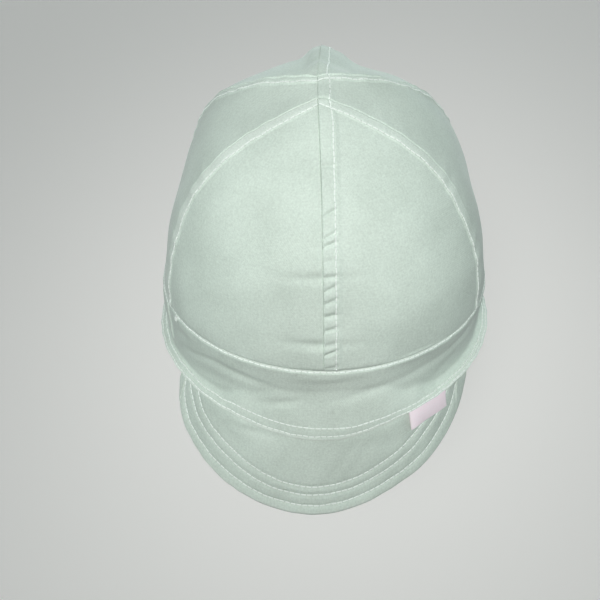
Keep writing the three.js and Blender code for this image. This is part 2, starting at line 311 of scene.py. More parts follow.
def hem_cover(angle):
    """How far the band's hem hangs below the sewn line: it comes in and fades along smooth steps."""
    start, full, fading, end = HEM_COVER_ANGLES
    degrees = np.degrees(angle)
    return HEM_COVER * smoothstep(degrees, start, full) * (1 - smoothstep(degrees, fading, end))


def at_stations(stations, angle):
    """The two values that stations round the head give at an angle, eased from each station to the next."""
    turn = np.degrees(np.arctan2(np.sin(angle), np.cos(angle)))
    following = np.clip(np.searchsorted(stations[:, 0], turn), 1, len(stations) - 1)
    start, end = stations[following - 1], stations[following]
    row = lerp(start, end, smoothstep(turn, start[..., 0], end[..., 0])[..., None])
    return row[..., 1], row[..., 2]


def band_hollow(angle, share):
    """How far the band bends in: straight in from both edges to the crease, where the bend is rounded."""
    crease, deepest = at_stations(CREASE_STATIONS, angle)
    away = np.where(share > crease, (share - crease) / (1 - crease), (crease - share) / crease)
    bend = np.sqrt(away**2 + CREASE_ROUNDING**2) - CREASE_ROUNDING
    return deepest * (1 - bend / (np.sqrt(1 + CREASE_ROUNDING**2) - CREASE_ROUNDING))


def band_point(angle, share, inset):
    """The band's face: an oval whose axes run evenly from the sewn line (share 0) to the top edge (1),
    taken in by the inset and by the bend to its crease. The hem below the line has shares under 0."""
    breadth, brim_reach, far_reach = (lerp(low, top, share) for low, top in zip(BAND_LOW, BAND_TOP))
    inset = inset + band_hollow(angle, share)
    reach = np.where(np.cos(angle) > 0, brim_reach, far_reach)
    height = lerp(sewn_line(angle), BAND_HEIGHT, share)
    return np.stack([(breadth - inset) * np.sin(angle), -(reach - inset) * np.cos(angle), height], -1)


def crown_point(plan_x, plan_y):
    """The crown over a point of the unit disc: a superellipse dome, a ridge that falls off beside the
    centre line and stands up out of a hollow towards the back, and a pinch that takes the cloth in behind
    the band's wall."""
    radius = np.minimum(np.hypot(plan_x, plan_y), 1)
    dome = CROWN_RISE * (1 - radius**CROWN_ROUNDNESS) ** (1 / CROWN_ROUNDNESS)
    across = BAND_TOP[0] * plan_x
    ridge = RIDGE_RISE / (1 + ((across - RIDGE_CENTRE) / RIDGE_HALF_WIDTH) ** 2)
    beside = across - REAR_RIDGE_CENTRE
    steep = np.exp(-np.abs(beside / np.where(beside < 0, *REAR_RIDGE_WIDTHS)) ** REAR_RIDGE_POWER)
    hollow = REAR_HOLLOW_DEPTH / (1 + (across / REAR_HOLLOW_HALF_WIDTH) ** 2)
    ridge = lerp(ridge, REAR_RIDGE_RISE * steep - hollow, smoothstep(plan_y, *RIDGE_CHANGE))
    rise = dome + (1 - radius**2) * ridge
    pinch = (BAND_WALL + GAP) * np.exp(-rise / PINCH_HEIGHT)
    reach = np.where(plan_y < 0, BAND_TOP[1], BAND_TOP[2])
    return np.stack([(BAND_TOP[0] - pinch) * plan_x, (reach - pinch) * plan_y, BAND_HEIGHT + rise], -1)


def tip_in_plan(tip):
    reach = BAND_TOP[1] if tip[1] < 0 else BAND_TOP[2]
    return tip[0] / BAND_TOP[0], tip[1] / reach


def gathers(along, phase, length=12.5, wander=1.1, wander_length=37.0):
    """Uneven ripples of a gathered seam: a sine whose phase wanders slowly along the seam."""
    shift = wander * np.sin(2 * np.pi * along / wander_length + 2 * phase)
    return np.sin(2 * np.pi * along / length + phase + shift)


def front_puckers(distance, along):
    """Dents across the front seam's strip: slanted bells along the seam, each with a wider one above it."""
    strip = CENTRE_SEAM["strip"]
    rise, shift, spread = PUCKER_SWELL
    total = 0
    for place, slant, depth, width in FRONT_PUCKERS:
        line = along - place - slant * distance / strip
        total = total - depth * bell(line, width) + rise * depth * bell(line - shift * width, spread * width)
    inside, outside = PUCKER_FADE
    at_seam = lerp(PUCKER_AT_SEAM, 1.0, smoothstep(distance, 0, inside))
    return total * at_seam * (1 - smoothstep(distance, strip - inside, strip + outside))


def front_drags(distance, along):
    """Soft folds that run out from the front seam and fade with distance."""
    total = 0
    for place, length, depth, width in FRONT_DRAGS:
        total = total - depth * bell(along - place - DRAG_SLANT * distance, width) * bell(distance, length)
    return total


class Panel:
    """A crown panel. u runs from its first seam (0) to its second (1), v from the band (0) to the tip (1);
    below the band's top edge v runs down to -1 along the back of the band."""

    def __init__(self, first, second, sag, felled, samples=801):
        self.names = {"first": first, "second": second, "tip": "ridge"}
        self.seams = {"first": SEAMS[first], "second": SEAMS[second], "tip": CENTRE_SEAM}
        self.tips = [tip_in_plan(SEAMS[name]["tip"]) for name in (first, second)]
        self.rims = [np.radians(SEAMS[name]["rim"]) for name in (first, second)]
        self.bows = [SEAMS[name]["bow"] / BAND_TOP[1] for name in (first, second)]
        self.sag_depth, self.sag_power = sag
        self.felled = felled
        self.samples = np.linspace(0, 1, samples)
        lines = {edge: self.base(np.full(samples, u), self.samples)
                 for edge, u in (("first", 0.0), ("middle", 0.5), ("second", 1.0))}
        self.lengths = {edge: way_along(line) for edge, line in lines.items()}
        self.widths = np.linalg.norm(lines["first"] - lines["second"], axis=1)

    def base(self, u, v):
        """The smooth cloth: the crown over a plan that shrinks from the rim towards the tip and bows
        towards the brim half way."""
        angle = lerp(*self.rims, u)
        above = np.clip(v, 0, 1)
        spread = np.maximum(np.cos(above * np.pi / 2), 0) ** (2 / CROWN_ROUNDNESS)
        plan_x = lerp(lerp(self.tips[0][0], self.tips[1][0], u), np.sin(angle), spread)
        plan_y = lerp(lerp(self.tips[0][1], self.tips[1][1], u), -np.cos(angle), spread)
        plan_y = plan_y - 4 * spread * (1 - spread) * lerp(*self.bows, u)
        share = 1 + np.minimum(v, 0) * PANEL_TUCK / band_length(angle)
        tucked = band_point(angle, share, BAND_WALL + GAP)
        return np.where((v < 0)[..., None], tucked, crown_point(plan_x, plan_y))

    def width(self, v):
        return np.interp(v, self.samples, self.widths)

    def along(self, edge, v):
        """Millimetres up from the band along one edge, or along the middle."""
        return np.interp(v, self.samples, self.lengths[edge])

    def sag(self, u, v):
        """Cloth that hangs in between its seams: half a sine across, a rounded half sine up the panel."""
        up = np.sin(np.pi * np.clip(v, 0, 1) ** self.sag_power)
        return self.sag_depth * np.sin(np.pi * u) * np.maximum(up, 0) ** SAG_FULLNESS

    def distances(self, u, v):
        """Distance from each edge in mm, with the way along that edge."""
        width = self.width(v)
        found = {"first": (u * width, self.along("first", v)),
                 "second": ((1 - u) * width, self.along("second", v))}
        if "tip" in self.felled:
            to_tip = self.lengths["middle"][-1] - self.along("middle", v)
            found["tip"] = (to_tip, u * width)
        return found

    def relief(self, u, v):
        """Strips of doubled cloth, edges rolled down into the seams, stitch grooves, puckers and waves, with
        a puff over the band. The strips are also given alone."""
        strip, rest = 0, 0
        for edge, (distance, along) in self.distances(u, v).items():
            name, seam = self.names[edge], self.seams[edge]
            phase = float(sum(map(ord, name.split("_")[0])))
            if edge not in self.felled:
                rest = rest + seam["lip"] * bell(distance - LIP_PLACE, LIP_WIDTH)
            rest = rest - seam["roll"] * bell(distance, seam["groove"])
            if name == "front" and edge == "second":
                rest = rest + front_drags(distance, along)
            elif name == "front":
                beyond = smoothstep(distance, seam["strip"], seam["strip"] + RIGHT_DRAG_START)
                rest = rest + front_puckers(distance, along)
                rest = rest + RIGHT_DRAG_SHARE * front_drags(distance, along) * beyond
            else:
                beside = bell(distance - GATHER_PLACE, GATHER_WIDTH)
                rest = rest + GATHER_DEPTH * gathers(along, phase) * beside
            if edge in self.felled:
                step = 1 - smoothstep(distance, seam["strip"], seam["strip"] + seam["soft"])
                strip = np.maximum(strip, STRIP_RISE * step)
                rest = rest - GROOVE_DEPTH * bell(distance - seam["strip"] + STITCH_MARGIN, GROOVE_WIDTH)
        cloth = self.base(u, v)
        rise = cloth[..., 2] - BAND_HEIGHT
        over_band = smoothstep(rise, start=0.3, end=3.0)
        pinch = np.exp(-np.maximum(rise, 0) / PINCH_HEIGHT)
        puff = PUFF * smoothstep(rise, start=0.2, end=1.5) * pinch
        return over_band * (strip + rest + cloth_waves(cloth)) + puff, over_band * strip

    def faces(self, u, v):
        """The outer face, the way out of it, and the inner face."""
        out = outward(self.base, u, v)
        relief, strip = self.relief(u, v)
        cloth = self.base(u, v) - out * self.sag(u, v)[..., None]
        outer = cloth + out * relief[..., None]
        inner = cloth - out * (PANEL_WALL + STRIP_INSIDE * strip)[..., None]
        return outer, out, inner

    def grid(self):
        """u and v of the panel's mesh: rows are closer just over the band, columns beside the seams."""
        last = self.lengths["middle"][-1]
        count = PUCKERED_ROWS if self.names["first"] == "front" else PANEL_ROWS
        rise = np.concatenate([np.linspace(0, RIM_ZONE, RIM_ROWS)[:-1],
                               np.linspace(RIM_ZONE, last - TIP_GAP, count)])
        rows = np.concatenate([TUCKED_ROWS, np.interp(rise, self.lengths["middle"], self.samples)])
        width = self.width(rows)[:, None]
        gap = np.minimum(SEAM_GAP / 2 / width, SEAM_GAP_LIMIT)
        zone = np.minimum(FINE_ZONE / width, FINE_ZONE_LIMIT)
        left = lerp(gap, zone, np.linspace(0, 1, FINE_COLUMNS) ** FINE_POWER)
        middle = lerp(zone, 1 - zone, np.linspace(0, 1, MIDDLE_COLUMNS + 2)[1:-1])
        u = np.concatenate([left, middle, 1 - left[:, ::-1]], 1)
        return u, np.broadcast_to(rows[:, None], u.shape)


def put(name, data):
    """A new object in the scene."""
    made = bpy.data.objects.new(name, data)
    bpy.context.scene.collection.objects.link(made)
    return made


def link(name, points, quads, uv, material, fold, sharp_angle=48):
    """One mesh object from points in mm, quads, a UV in mm of cloth and the strength of the painted
    highlight at each point, kept as the fold attribute.
    """
    mesh = bpy.data.meshes.new(name)
    mesh.from_pydata(points.reshape(-1, 3) * MM, [], quads)
    corner = np.zeros(len(mesh.loops), np.int32)
    mesh.loops.foreach_get("vertex_index", corner)
    layer = mesh.uv_layers.new(name="cloth")
    layer.data.foreach_set("uv", (uv.reshape(-1, 2) * MM)[corner].astype(np.float32).ravel())
    near = mesh.attributes.new("fold", "FLOAT", "POINT")
    near.data.foreach_set("value", fold.astype(np.float32).ravel())
    mesh.shade_smooth()
    mesh.set_sharp_from_angle(angle=np.radians(sharp_angle))
    mesh.materials.append(material)
    return put(name, mesh)


def grid_quads(rows, columns, ring=False, closed=False):
    """Quads of a grid whose columns run to the right and rows upwards, seen from outside. A ring
    joins its last column to the first, and a closed profile its last row to the first."""
    index = np.arange(rows * columns).reshape(rows, columns)
    if ring:
        index = np.concatenate([index, index[:, :1]], 1)
    if closed:
        index = np.concatenate([index, index[:1]])
    return np.stack([index[:-1, :-1], index[:-1, 1:], index[1:, 1:], index[1:, :-1]], -1).reshape(-1, 4)


def wall_quads(rows, columns):
    """Quads of a closed wall: an outer grid, an inner grid turned round, and the rim between them."""
    outer = grid_quads(rows, columns)
    index = np.arange(rows * columns).reshape(rows, columns)
    border = np.concatenate([index[0], index[1:, -1], index[-1, -2::-1], index[-2:0:-1, 0]])
    following = np.roll(border, -1)
    count = rows * columns
    rim = np.stack([following, border, border + count, following + count], -1)
    return np.concatenate([outer, outer[:, ::-1] + count, rim])


def wall(name, outer, inner, uv, material, fold):
    """A closed wall of cloth between two grids of points."""
    points = np.concatenate([outer.reshape(-1, 3), inner.reshape(-1, 3)])
    both = [np.concatenate([part, part]) for part in (uv.reshape(-1, 2), fold.reshape(-1, 1))]
    return link(name, points, wall_quads(*outer.shape[:2]), both[0], material, both[1])


# Topstitching

# One stitch: places along its half length, and the thread's thickness and height there.
STITCH_PLACES = np.array([-1.0, -0.9, -0.5, 0.5, 0.9, 1.0])
STITCH_GIRTHS = np.array([0.5, 0.88, 1.0, 1.0, 0.88, 0.5])
STITCH_HEIGHTS = np.array([-0.8, -0.15, 0.15, 0.15, -0.15, -0.8])
STITCH_SIDES = 6


def stitch_row(path, out):
    """Stitches along a path: short arched threads, evenly spaced, whose ends go down into the cloth."""
    way = way_along(path)
    count = max(int(way[-1] / STITCH_PITCH), 1)
    middle = (np.arange(count) + 0.5) * way[-1] / count

    def at(places, values):
        return np.stack([np.interp(places, way, values[:, axis]) for axis in range(3)], -1)

    ahead = unit(at(middle + STITCH_LENGTH / 2, path) - at(middle - STITCH_LENGTH / 2, path))
    up = unit(at(middle, out))
    side = unit(np.cross(up, ahead))
    up = np.cross(ahead, side)
    turn = 2 * np.pi * np.arange(STITCH_SIDES) / STITCH_SIDES
    girth = THREAD_RADIUS * STITCH_GIRTHS[:, None]
    forward = (STITCH_LENGTH / 2 * STITCH_PLACES)[:, None] + 0 * turn
    sideways = girth * np.cos(turn)
    upward = THREAD_RADIUS * STITCH_HEIGHTS[:, None] + girth * np.sin(turn)
    centre = at(middle, path)[:, None, None]
    return (centre + forward[..., None] * ahead[:, None, None] + sideways[..., None] * side[:, None, None]
            + upward[..., None] * up[:, None, None])


def stitch_quads(count):
    """Quads of the stitches: tubes of a few rings, each end closed by two quads."""
    rings = len(STITCH_PLACES)
    tube = grid_quads(rings, STITCH_SIDES, ring=True)
    near = np.array([[3, 2, 1, 0], [5, 4, 3, 0]])
    far = np.array([[0, 1, 2, 3], [0, 3, 4, 5]]) + (rings - 1) * STITCH_SIDES
    one = np.concatenate([tube[:, ::-1], near[:, ::-1], far[:, ::-1]])
    shift = np.arange(count) * rings * STITCH_SIDES
    return (one[None] + shift[:, None, None]).reshape(-1, 4)


def topstitching(name, rows, material):
    """All stitches of one piece as one mesh."""
    stitches = np.concatenate([stitch_row(path, out) for path, out in rows])
    around = np.broadcast_to(np.arange(STITCH_SIDES) / STITCH_SIDES, stitches.shape[:3])
    along = np.broadcast_to(STITCH_PLACES[None, :, None], stitches.shape[:3])
    uv = np.stack([along * STITCH_LENGTH / 2, around * 2 * np.pi * THREAD_RADIUS], -1)
    return link(name, stitches, stitch_quads(len(stitches)), uv, material, 0 * around)


def panel_row(panel, edge, start=0.004, points=500, least=1.04, waver=0.1):
    """The way of the stitches beside one edge of a panel, as far as the panel is wide enough. It wavers."""
    inset = panel.seams[edge]["strip"] - STITCH_MARGIN
    v = np.linspace(start, 1, points)
    v = v[panel.width(v) > least * inset]
    share = (inset + waver * gathers(panel.along(edge, v), phase=2.0)) / panel.width(v)
    return panel.faces(share if edge == "first" else 1 - share, v)[:2]


def tip_row(panel, points=60):
    """The way of the stitches across a side panel's tip."""
    inset = panel.seams["tip"]["strip"] - STITCH_MARGIN
    v_there = np.interp(panel.lengths["middle"][-1] - inset, panel.lengths["middle"], panel.samples)
    return panel.faces(np.linspace(0, 1, points), np.full(points, v_there))[:2]


def crown_rows(panels):
    """The ways of the stitches along all felled edges."""
    for panel in panels:
        for edge in panel.felled:
            yield tip_row(panel) if edge == "tip" else panel_row(panel, edge)


def panel_piece(name, panel, material):
    """A crown panel as a wall of cloth, with a painted highlight on the strips of its felled seams."""
    u, v = panel.grid()
    outer, _, inner = panel.faces(u, v)
    up = panel.along("middle", v) + np.minimum(v, 0) * PANEL_TUCK
    uv = np.stack([(u - 0.5) * panel.width(v), up], -1)
    # Painted highlight on the strips of the felled seams, as strong as each seam's pale value.
    fold = np.zeros(u.shape)
    for edge, (distance, _) in panel.distances(u, v).items():
        if edge in panel.felled:
            strip, pale = panel.seams[edge]["strip"], panel.seams[edge]["pale"]
            fold = np.maximum(fold, pale * (1 - smoothstep(distance, strip - PAINTED_HIGHLIGHT_FADE, strip)))
    return wall(f"crown_{name}_cloth", outer, inner, uv, material, fold)


# Band

# Its stitch rows: how far the top row lies below the top edge, and how far the fold's row and the hem's
# row lie over the hem's edge at stations round the head, the angle in degrees first.
TOP_STITCH_DROP = 0.45
HEM_STATIONS = np.array([
    (-180, 1.0, 3.4),
    (-100, 0.6, 2.4),
    (-60, 0.4, 2.0),
    (-45, 0.5, 2.2),
    (-37, 0.6, 3.0),
    (-28, 1.1, 5.1),
    (-12, 1.4, 5.7),
    (3, 1.9, 5.9),
    (12, 0.9, 4.4),
    (20, 0.5, 3.4),
    (30, 0.4, 2.4),
    (42, 0.35, 1.5),
    (55, 0.35, 1.1),
    (76, 0.35, 1.1),
    (110, 0.8, 2.2),
    (180, 1.0, 3.4),
])

# The thin lip at its top edge, the wall at its hem, the nip along its crease and the gathers at its edges.
TOP_LIP_INSET = 0.8
TOP_LIP_ROUND = 0.3
HEM_WALL = 0.9
NIP_DEPTH = 0.25
BAND_GATHER_DEPTH = 0.16

# The lap of its two ends: the angle in degrees, how far it leans at the hem, its step and half that step's
# width, and the dent beside it. Then the knot at the top edge and the tacks that hold it.
LAP_ANGLE = -68.0
LAP_LEAN = 2.0
LAP_STEP = 0.55
LAP_EDGE = 0.2
LAP_DENT = 0.3
LAP_DENT_PLACE = 0.7
KNOT_ANGLE = -59.4
KNOT_RISE = 0.6
KNOT_DROP = 1.0
LAP_TACKS = (-0.6, -0.2, 0.2, 0.6)
LAP_TACK_START = 0.1
LAP_TACK_LENGTH = 3.2

# Short folds on the band: angle of the middle in degrees, half length, height share, tilt, depth, width.
BAND_FOLDS = [
    (-57, 4.5, 0.68, 0.05, 0.80, 3.0),
    (-47, 9.0, 0.56, 0.12, 0.75, 2.0),
    (-29, 11.0, 0.65, -0.02, 0.75, 2.0),
    (-38, 9.0, 0.36, 0.06, 0.40, 2.4),
    (-14, 6.0, 0.40, 0.08, 0.85, 1.8),
    (2, 12.0, 0.80, 0.04, 0.35, 2.4),
    (12, 11.0, 0.56, 0.06, 0.60, 2.2),
    (34, 10.0, 0.64, 0.02, 0.70, 2.8),
    (54, 12.0, 0.70, 0.06, 0.90, 3.0),
    (46, 8.0, 0.36, 0.10, 0.40, 2.6),
    (80, 12.0, 0.50, 0.20, 0.50, 4.0),
    (-88, 16.0, 0.46, -0.20, 0.50, 4.0),
    (128, 20.0, 0.55, 0.20, 0.55, 4.5),
    (-140, 22.0, 0.50, 0.15, 0.55, 4.5),
    (168, 16.0, 0.40, -0.15, 0.45, 4.0),
]


def lap_relief(degrees, share, height, below_top):
    """Where the band's two ends lap: a step down with a dent beside it, and a knot at the top edge."""
    beyond = degrees - LAP_ANGLE - LAP_LEAN * (1 - share) ** 2
    over_hem = smoothstep(height, start=5.5, end=9)
    lapped = smoothstep(beyond, start=-14, end=-4) * over_hem
    step = (1 - smoothstep(beyond, -LAP_EDGE, LAP_EDGE)) * lapped
    dent = bell(beyond - LAP_DENT_PLACE, width=0.5) * over_hem
    knot = bell(degrees - KNOT_ANGLE, width=1.2) * bell(below_top - KNOT_DROP, width=1.6)
    return LAP_STEP * step - LAP_DENT * dent + KNOT_RISE * knot


def band_relief(angle, share):
    """The band's cloth: a nip along its crease, short folds and waves that fade out at both edges, the lap
    of its ends, a thin lip at its top edge, gathers beside both edges, and stitch grooves."""
    degrees = np.degrees(angle)
    length = band_length(angle)
    height = share * length + hem_cover(angle)
    below_top = (1 - share) * length
    crease = at_stations(CREASE_STATIONS, angle)[0]
    total = -NIP_DEPTH * bell((share - crease) * length, width=2.0)
    for middle, half, place, tilt, depth, width in BAND_FOLDS:
        offset = degrees - middle
        line = (share - place - tilt * offset / half) * length
        total = total - depth * bell(line, width) * bell(offset, half)
    total = total + cloth_waves(band_point(angle, share, 0))
    away = smoothstep(height, 0, end=7) * smoothstep(below_top, 0, end=6)
    pressed = lap_relief(degrees, share, height, below_top) - TOP_LIP_INSET * bell(below_top, width=0.8)
    grooves = sum(bell(height - rise, GROOVE_WIDTH) for rise in at_stations(HEM_STATIONS, angle))
    gathered = bell(height, width=5) + bell(below_top, width=4)
    ripple = BAND_GATHER_DEPTH * gathers(np.radians(degrees) * BAND_TOP[1], phase=4.0) * gathered
    return total * away + pressed + ripple - GROOVE_DEPTH * grooves


def band_face(angle, share):
    return band_point(angle, share, -band_relief(angle, share))


def band_piece(material, columns=640, faces=46, roll=5, crowding=0.12):
    """A ring of cloth: the outer face, a rolled top edge, the inner face and a rolled lower edge. It hangs
    down to the hem's edge, where the wall is thinner."""
    even = np.linspace(0, 1, faces)
    share = even - crowding * np.sin(2 * np.pi * even)
    half_turn = np.linspace(0, np.pi, roll + 2)[1:-1]
    over, bulge = np.cos(half_turn) / 2 + 0.5, np.sin(half_turn)
    even_turn = np.linspace(-180, 180, columns + 1)[:-1]
    at_lap = LAP_ANGLE + np.linspace(-1.1, 3.1, 41)
    angle = np.radians(np.sort(np.concatenate([even_turn, at_lap])))
    inner = BAND_WALL - (BAND_WALL - HEM_WALL) * bell(share[::-1], width=0.09)
    profile = np.concatenate([share, np.ones(roll), share[::-1], np.zeros(roll)])
    inward = np.concatenate([0 * share, BAND_WALL * (1 - over), inner, HEM_WALL * over])
    lift = np.concatenate([0 * share, TOP_LIP_ROUND * bulge, 0 * share, -HEM_WALL / 2 * bulge])
    on_face = np.concatenate([0 * share + 1, over, 0 * share, 1 - over])
    turn, place = np.broadcast_arrays(angle, profile[:, None])
    length = band_length(turn)
    # Painted highlight along the top edge and the hem's edge of the outer face and its rolls.
    edge_highlight = np.maximum(bell((1 - place) * length, width=0.6), bell(place * length, width=0.8))
    fold = on_face[:, None] * edge_highlight
    place = place - (1 - place) * hem_cover(turn) / length
    points = band_point(turn, place, inward[:, None] - on_face[:, None] * band_relief(turn, place))
    points = points + np.stack([0 * turn, 0 * turn, np.broadcast_to(lift[:, None], turn.shape)], -1)
    ring = grid_quads(*turn.shape, ring=True, closed=True)
    steps = np.abs(np.diff(profile)) * BAND_HEIGHT + np.abs(np.diff(inward))
    girth = np.concatenate([[0], np.cumsum(steps)])
    uv = np.stack([turn * BAND_TOP[1], np.broadcast_to(girth[:, None], turn.shape)], -1)
    return link("band_cloth", points, ring, uv, material, fold)


def band_rows(points=1600, tack_points=12):
    """The ways of the stitches along the top edge, the fold and the hem, and of the tacks on the knot. The
    first two are sunk into the cloth."""
    angle = np.linspace(-np.pi, np.pi, points)
    length = band_length(angle)
    fold_rise, hem_rise = at_stations(HEM_STATIONS, angle)
    heights = (length - TOP_STITCH_DROP, fold_rise - hem_cover(angle), hem_rise - hem_cover(angle))
    for height, sunk in zip(heights, (0.18, 0.1, 0.0)):
        out = outward(band_face, angle, height / length)
        yield band_face(angle, height / length) - sunk * out, out
    for shift in LAP_TACKS:
        angle = np.full(tack_points, np.radians(KNOT_ANGLE + shift))
        share = 1 - np.linspace(LAP_TACK_START, LAP_TACK_LENGTH, tack_points) / band_length(angle)
        yield band_face(angle, share), outward(band_face, angle, share)


# Brim

# Soft folds on the brim: angle of the middle in degrees, half length, drop, tilt, depth, width.
BRIM_FOLDS = [
    (-22, 9.0, 7.0, -2.0, 0.45, 2.0),
    (-33, 8.0, 13.0, 5.0, 0.30, 3.0),
    (24, 12.0, 15.0, 4.0, 0.30, 4.0),
]

# The outline of the brim and its stitch rows: the angles of the left and right end in degrees, the drop in
# the middle, and how square and how full the curve is.
BRIM_OUTLINE = {"left": BRIM_HALF_ANGLE, "right": BRIM_HALF_ANGLE, "drop": BRIM_DROP,
                "power": 2.26, "fullness": 0.45}
BRIM_ROWS = [
    {"left": 54.0, "right": 50.4, "drop": 39.8, "power": 2.1, "fullness": 0.43},
    {"left": 51.2, "right": 45.6, "drop": 34.0, "power": 2.25, "fullness": 0.62},
    {"left": 46.8, "right": 40.2, "drop": 29.6, "power": 1.95, "fullness": 0.6},
]

# Relief of the brim: a swell, its upturned strip, ripples and their slant, stitch grooves, its share of the
# cloth's waves, and the share of all this that shows inside.
BRIM_SWELL = 0.15
BRIM_FLARE = 0.4
BRIM_RIPPLE = 0.10
BRIM_RIPPLE_SLANT = 0.6
BRIM_GROOVE_DEPTH = 0.5
BRIM_WAVES = 0.8
BRIM_INSIDE = 0.5
BRIM_MIDDLE = BAND_WALL + GAP + BRIM_WALL / 2


def brim_point(angle, drop, inset):
    """The brim's cloth below the sewn line: it leans out, curls at its edge and hangs a little to the left.
    Above that line it follows the back of the band."""
    down = np.maximum(drop, 0)
    share = down / BRIM_DROP
    out = down * np.sin(BRIM_LEAN) + BRIM_CURL * share**2
    behind = np.maximum(-drop, 0) / band_length(angle)
    point = band_point(angle, behind, inset - out)
    return point + np.stack([BRIM_SKEW * share, 0 * share, -down * np.cos(BRIM_LEAN)], -1)


def brim_outline(angle, left, right, drop, power, fullness, last=0.9995):
    """The drop of an outline over the brim's span: a superellipse between its left and right ends."""
    half = np.radians(np.where(angle < 0, left, right))
    share = np.minimum(np.abs(angle) / half, last)
    return drop * (1 - share**power) ** fullness


def outline_distance(angle, drop, outline, step=0.002):
    """Distance of a place on the brim from an outline: the drop between them, shortened where the outline
    is steep."""
    before, there, after = (brim_outline(angle + shift, **outline) for shift in (-step, 0, step))
    slope = (after - before) / (2 * step * BAND_LOW[1])
    return (there - drop) / np.sqrt(1 + slope**2)


def brim_relief(angle, drop):
    """The brim's cloth: stitch rows pull grooves into it, its outermost strip turns up a little, and soft
    folds cross its middle."""
    grooves = sum(bell(outline_distance(angle, drop, row), width=1.0) for row in BRIM_ROWS)
    flare = smoothstep(-outline_distance(angle, drop, BRIM_ROWS[0]), 0, end=4)
    folds = 0
    for middle, half, place, tilt, depth, width in BRIM_FOLDS:
        offset = np.degrees(angle) - middle
        folds = folds + depth * bell(drop - place - tilt * offset / half, width) * bell(offset, half)
    shown = smoothstep(drop, start=1.0, end=5.0)
    ripple = BRIM_RIPPLE * gathers(angle * BAND_LOW[1] + BRIM_RIPPLE_SLANT * drop, phase=1.0)
    raised = BRIM_SWELL + BRIM_FLARE * flare + ripple
    waves = BRIM_WAVES * cloth_waves(brim_point(angle, drop, 0))
    return shown * (raised - BRIM_GROOVE_DEPTH * grooves - folds + waves)


def brim_half_wall(angle, drop, rounding=0.75, least=0.08):
    """Half the brim's thickness, rounded off over a share of its wall before the edge."""
    near = np.clip(outline_distance(angle, drop, BRIM_OUTLINE) / (rounding * BRIM_WALL), 0, 1)
    return np.maximum(BRIM_WALL / 2 * np.sqrt(1 - (1 - near) ** 2), least)


def brim_face(angle, drop):
    return brim_point(angle, drop, BRIM_MIDDLE - brim_half_wall(angle, drop) - brim_relief(angle, drop))


def brim_piece(material, columns=220, rows=64):
    """The doubled flap, from where it is sewn in behind the band down to its rounded edge."""
    across = BRIM_END * np.sin(np.linspace(-np.pi / 2, np.pi / 2, columns))
    down = np.sin(np.linspace(np.pi / 2, 0, rows))
    angle = np.radians(BRIM_HALF_ANGLE) * across
    edge = brim_outline(angle, **BRIM_OUTLINE)
    crease = at_stations(CREASE_STATIONS, angle)[0] * band_length(angle)
    tuck = np.minimum(crease, BRIM_TUCK)
    drop = np.concatenate([edge * down[:, None], -tuck * np.linspace(0.25, 1, 4)[:, None]])
    angle = np.broadcast_to(angle, drop.shape)
    outer = brim_face(angle, drop)
    inset = BRIM_MIDDLE + brim_half_wall(angle, drop) + BRIM_INSIDE * brim_relief(angle, drop)
    inner = brim_point(angle, drop, inset)
    uv = np.stack([angle * BAND_LOW[1], -drop], -1)
    # Painted highlight along the brim's rounded outer edge.
    fold = bell(outline_distance(angle, drop, BRIM_OUTLINE), width=1.6)
    return wall("brim_cloth", outer, inner, uv, material, fold)


def brim_rows(points=900):
    """The ways of the stitches along the brim's outlines."""
    for row in BRIM_ROWS:
        turn = np.sin(np.linspace(-np.pi / 2, np.pi / 2, points))
        angle = np.radians(np.where(turn < 0, row["left"], row["right"])) * turn
        drop = brim_outline(angle, **row)
        yield brim_face(angle, drop), outward(lambda a, d: brim_point(a, -d, 0), angle, -drop, step=0.01)


# Ribbon tab


def label_piece(material, columns=56, straight=22, bend=8):
    """A ribbon folded in half: down the front ply, round the fold and up the back ply."""
    radius = (LABEL_WALL - LABEL_PLY) / 2
    bottom = LABEL_DROP - radius - LABEL_PLY / 2
    down = np.linspace(GAP, bottom, straight)
    turn = np.linspace(0, np.pi, bend + 2)[1:-1]
    front = BAND_WALL - LABEL_WALL + LABEL_PLY / 2
    back = front + 2 * radius
    drop = np.concatenate([down, bottom + radius * np.sin(turn), down[::-1]])
    inset = np.concatenate([0 * down + front, front + radius * (1 - np.cos(turn)), 0 * down + back])
    heading = unit(np.stack([np.gradient(drop), np.gradient(inset)], -1))
    across = np.linspace(0, 1, columns)

    def ply(side):
        shift = side * LABEL_PLY / 2
        place = (drop + shift * -heading[:, 1])[:, None] + 0 * across
        depth = (inset + shift * heading[:, 0])[:, None] + 0 * across
        lift = LABEL_LIFT * (1 - smoothstep(across, 0, LABEL_LIFT_SHARE)) * (place / LABEL_DROP)
        sway = LABEL_SWAY * np.sin(2 * np.pi * across * 1.3 + 0.8) * (place / LABEL_DROP)
        puff = np.sin(np.pi * np.clip(place / LABEL_DROP, 0, 1)) * np.sin(np.pi * across) ** 0.3
        angle = lerp(LABEL_FROM, LABEL_TO, across) + LABEL_SLANT * place / LABEL_DROP
        return brim_point(angle, place, depth - lift - sway - LABEL_PUFF * puff)

    way = way_along(np.stack([drop, inset], -1))
    uv = np.stack(np.broadcast_arrays(across * (LABEL_TO - LABEL_FROM) * BAND_LOW[1], way[:, None]), -1)
    # Painted highlight along both turned ends of the ribbon.
    fold = np.broadcast_to(np.maximum(bell(across, width=0.05), bell(1 - across, width=0.04)), uv.shape[:2])
    return wall("label_ribbon_fold", ply(1)[::-1], ply(-1)[::-1], uv[::-1], material, fold[::-1])


# Materials


def linear(code):
    """An sRGB hex colour as linear RGBA."""
    parts = np.array([int(code[at : at + 2], 16) for at in (1, 3, 5)]) / 255
    return (*np.where(parts <= 0.04045, parts / 12.92, ((parts + 0.055) / 1.055) ** 2.4), 1.0)


def feed(tree, node, sockets):
    """Fills a node's sockets: an output is linked, and any other value is set."""
    for name, value in sockets.items():
        if isinstance(value, bpy.types.NodeSocket):
            tree.links.new(value, node.inputs[name])
        else:
            node.inputs[name].default_value = value


